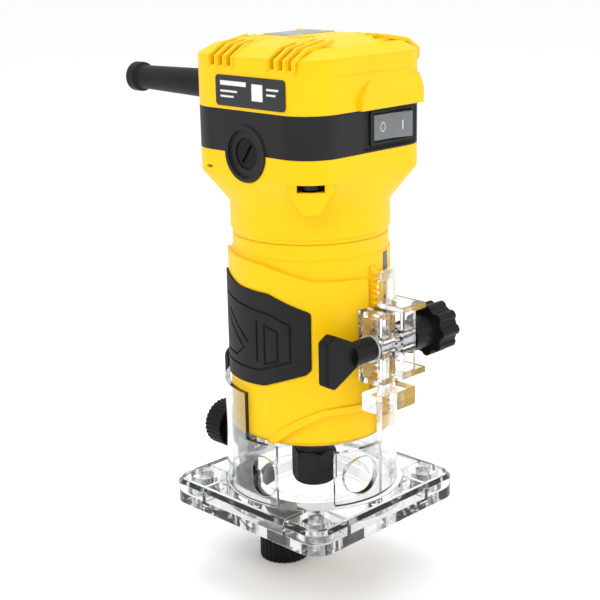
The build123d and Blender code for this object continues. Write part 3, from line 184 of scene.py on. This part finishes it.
foil = metal("silver_label_foil", (0.4, 0.41, 0.42), 0.42, strength=0.05)
steel = metal("zinc_plated_steel", (0.55, 0.55, 0.56), 0.28)
black_steel = metal("black_oxide_steel", (0.03, 0.03, 0.032), 0.36)
brass = metal("turned_brass", (0.68, 0.47, 0.18), 0.28)
copper = metal("enamelled_copper", (0.55, 0.22, 0.09), 0.4, size=0.6 * MM, strength=0.6)
sheet_stack = metal("stacked_sheet_steel", (0.3, 0.3, 0.31), 0.42)
clear_plastic = clear_moulding("clear_polycarbonate", (0.9, 0.915, 0.925))
clear_wall = clear_moulding("clear_polycarbonate_wall", (0.98, 0.985, 0.99), ears_end=-33 * MM)

finish_of = {
    yellow: ["motor_housing", "top_cap"],
    band_black: ["mid_band", "cord_clamp", "clamp_bridge", "capacitor", "bearing_bridge", "switch_case"],
    pad_rubber: ["grip_pad", "bearing_boot"],
    cord_rubber: ["cord_guard"],
    knob_black: ["paddle_knob", "star_knob", "roller_knob", "guide_knob", "brush_caps"],
    label_film: ["side_label", "scale_strip"],
    rocker_grey: ["rocker"],
    foil: ["top_label"],
    grey_nylon: ["guide_roller", "cooling_fan", "fan_baffle"],
    carbon: ["carbon_brushes"],
    steel: ["cord_clamp_screws", "clamp_bolt", "clamp_washer", "guide_stud", "height_pinion",
            "roller_stud", "armature_shaft", "collet", "lower_bearing", "bearing_retainer",
            "upper_bearing", "brush_springs"],
    black_steel: ["head_screws", "guide_bracket", "collet_nut"],
    brass: ["switch_terminals", "paddle_nut", "guide_knob_nut", "brush_holders"],
    copper: ["armature_windings", "commutator", "field_coils"],
    sheet_stack: ["armature_core", "stator_core"],
    clear_plastic: ["clear_plate", "side_guard", "front_guard", "sole_inserts"],
    clear_wall: ["clamp_sleeve"],
}
for finish, names in finish_of.items():
    for name in names:
        for held in nodes[name].material_slots:
            held.material = finish


# ---- added pieces ----------------------------------------------------------------------------
def piece(name, mesh, finish, body):
    """Turns a bmesh into a named object that rides on a body."""
    bmesh.ops.recalc_face_normals(mesh, faces=mesh.faces)
    data = bpy.data.meshes.new(name)
    mesh.to_mesh(data)
    mesh.free()
    data.materials.append(finish)
    made = bpy.data.objects.new(name, data)
    bpy.context.scene.collection.objects.link(made)
    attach(made, body)
    return made


def bar(mesh, low, high, round_by=0.0, turn=None):
    """Adds a box between two corners, its edges rounded, then turned if asked."""
    centre = (Vector(low) + Vector(high)) / 2
    size = Vector(high) - Vector(low)
    made = bmesh.ops.create_cube(mesh, size=1.0)["verts"]
    bmesh.ops.scale(mesh, vec=size, verts=made)
    if round_by:
        edges = list({edge for vert in made for edge in vert.link_edges})
        made = bmesh.ops.bevel(mesh, geom=edges, offset=round_by, offset_type="OFFSET", affect="EDGES",
                               segments=3, profile=0.5, material=-1)["verts"]
    bmesh.ops.translate(mesh, vec=centre, verts=made)
    if turn:
        bmesh.ops.transform(mesh, matrix=turn, verts=made)


# O and I marks on the two facets of the rocker; the marks are drawn about the pin, Y outwards
tilt = math.radians(9)          # the rocker at rest
facet = math.radians(5.9)       # each facet against the face between them
pin = Vector((11.2, -32.0, 162.3)) * MM
mark_side = 5.0                 # each mark's middle, sideways from the pin
ring_in, ring_out = 1.25, 1.7
ring_under, ring_over = -0.05, 0.08
ring_narrow, ring_tall = 0.85, 1.15
on_rocker = Matrix.Translation(pin) @ Matrix.Rotation(-tilt, 4, "Z")
marks = bmesh.new()
section = [marks.verts.new((x * MM, y * MM, 0)) for x, y in (
    (ring_in, ring_under), (ring_out, ring_under), (ring_out, ring_over), (ring_in, ring_over))]
profile = marks.faces.new(section)
bmesh.ops.spin(marks, geom=[profile] + profile.edges[:] + profile.verts[:], cent=(0, 0, 0),
               axis=(0, 1, 0), angle=2 * math.pi, steps=40, use_merge=True)
inside = [f for f in marks.faces if all(abs(v.co.z) < 1e-7 for v in f.verts)]
bmesh.ops.delete(marks, geom=inside, context="FACES_ONLY")
bmesh.ops.scale(marks, vec=(ring_narrow, 1, ring_tall), verts=marks.verts[:])
ring_place = Matrix.Translation((-mark_side * MM, -3.15 * MM, 0)) @ Matrix.Rotation(facet, 4, "Z")
bmesh.ops.transform(marks, verts=marks.verts[:], matrix=on_rocker @ ring_place)
line_place = Matrix.Translation((mark_side * MM, -3.12 * MM, 0)) @ Matrix.Rotation(-facet, 4, "Z")
bar(marks, (-0.25 * MM, -0.08 * MM, -1.8 * MM), (0.25 * MM, 0.05 * MM, 1.8 * MM),
    turn=on_rocker @ line_place)
piece("rocker_marks", marks, white_print, "switch_rocker")

# raised rails beside the vents, following the cap from its side over the shoulder to the crown
rail_half = 0.75
rail_outer = [(-35.0, 185.6), (-35.6, 186.2), (-35.6, 190.3), (-28.6, 194.35), (-14.5, 196.8), (-13.6, 196.2)]
rail_inner = [(-14.0, 195.2), (-28.4, 192.6), (-34.4, 189.2), (-34.4, 185.6)]
rail_rows = (5.7, 10.3, 14.9, 19.5, -13.2, -17.8, -22.4, -27.0)
rails = bmesh.new()
for middle in rail_rows:
    for flip in (1, -1):
        corners = [rails.verts.new((flip * x * MM, (middle - rail_half) * MM, z * MM))
                   for x, z in rail_outer + rail_inner]
        side = rails.faces.new(corners)
        grown = bmesh.ops.extrude_face_region(rails, geom=[side])
        moved = [v for v in grown["geom"] if isinstance(v, bmesh.types.BMVert)]
        bmesh.ops.translate(rails, vec=(0, 2 * rail_half * MM, 0), verts=moved)
bmesh.ops.bevel(rails, geom=rails.edges[:], offset=0.3 * MM, offset_type="OFFSET", affect="EDGES",
                segments=2, profile=0.5, material=-1)
piece("vent_rails", rails, yellow, "motor")

# two short raised ribs beside the top label
ribs = bmesh.new()
for y in (-4.5, -9.5):
    bar(ribs, (-15.0 * MM, (y - 1.0) * MM, 195.7 * MM), (-6.5 * MM, (y + 1.0) * MM, 196.9 * MM),
        round_by=0.4 * MM)
piece("crown_ribs", ribs, yellow, "motor")

# generic printed bars on the side label: low and high along the label, then low and high in height
print_x = -35.43
print_thick = 0.06
print_shift = 1.2
printed = ((-11.5, 3.0, 179.2, 181.0), (-11.5, -2.0, 176.6, 177.4), (-11.5, -4.0, 174.6, 175.4),
           (6.0, 12.0, 174.2, 180.6), (14.0, 20.5, 178.6, 179.4), (14.0, 19.0, 176.6, 177.4))
bars = bmesh.new()
for along_low, along_high, z_low, z_high in printed:
    bar(bars, (print_x * MM, -along_high * MM, z_low * MM),
        ((print_x + print_thick) * MM, -along_low * MM, z_high * MM))
bmesh.ops.translate(bars, vec=(0, print_shift * MM, 0), verts=bars.verts[:])
piece("label_bars", bars, white_print, "motor")

# ---- floor, light and camera -----------------------------------------------------------------
floor_half = 6.0
floor_drop = 0.2 * MM           # the knob under the base stands this far above the floor
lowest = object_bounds()[0][2]
floor_mesh = bmesh.new()
bmesh.ops.create_grid(floor_mesh, x_segments=1, y_segments=1, size=floor_half)
bmesh.ops.translate(floor_mesh, vec=(0, 0, lowest - floor_drop), verts=floor_mesh.verts[:])
floor_data = bpy.data.meshes.new("floor")
floor_mesh.to_mesh(floor_data)
floor_mesh.free()
floor = bpy.data.objects.new("floor", floor_data)
floor_finish, _, floor_shader, _ = new_finish("pale_floor")
floor_shader.inputs["Base Color"].default_value = (1, 1, 1, 1)
floor_shader.inputs["Roughness"].default_value = 0.7
floor_data.materials.append(floor_finish)
bpy.context.scene.collection.objects.link(floor)

world = bpy.data.worlds.new("studio")
world.use_nodes = True
world.node_tree.nodes["Background"].inputs["Color"].default_value = (1, 1, 1, 1)
world.node_tree.nodes["Background"].inputs["Strength"].default_value = 0.98
bpy.context.scene.view_settings.view_transform = "Standard"
bpy.context.scene.world = world


def soft_light(name, place, aim, width, power):
    lamp = bpy.data.lights.new(name, "AREA")
    lamp.shape = "SQUARE"
    lamp.size = width
    lamp.energy = power
    holder = bpy.data.objects.new(name, lamp)
    holder.location = place
    holder.rotation_euler = (Vector(aim) - Vector(place)).to_track_quat("-Z", "Y").to_euler()
    bpy.context.scene.collection.objects.link(holder)


barrel_middle = (0, 0, 0.1)
soft_light("key_light", (-0.9, -0.35, 0.95), barrel_middle, 0.6, 3.4)
soft_light("fill_light", (0.55, -0.95, 0.5), barrel_middle, 0.6, 2)
soft_light("top_light", (0.1, 0.2, 1.2), barrel_middle, 0.7, 4)

camera_place = (-0.3783, -0.3717, 0.2392)
heading = math.radians(44.98)   # from +Y towards +X
pitch = math.radians(15.93)
roll = math.radians(-1.08)
ahead = Vector((math.sin(heading) * math.cos(pitch), math.cos(heading) * math.cos(pitch), -math.sin(pitch)))
level = Vector((math.cos(heading), -math.sin(heading), 0))
above = level.cross(ahead)
across = level * math.cos(roll) + above * math.sin(roll)
upward = above * math.cos(roll) - level * math.sin(roll)
lens = bpy.data.cameras.new("camera")
lens.sensor_width = 36
lens.lens = 79.7
lens.clip_start = 0.01
camera = bpy.data.objects.new("camera", lens)
turn = Matrix((across, upward, -ahead)).transposed().to_4x4()
camera.matrix_world = Matrix.Translation(camera_place) @ turn
bpy.context.scene.collection.objects.link(camera)
bpy.context.scene.camera = camera
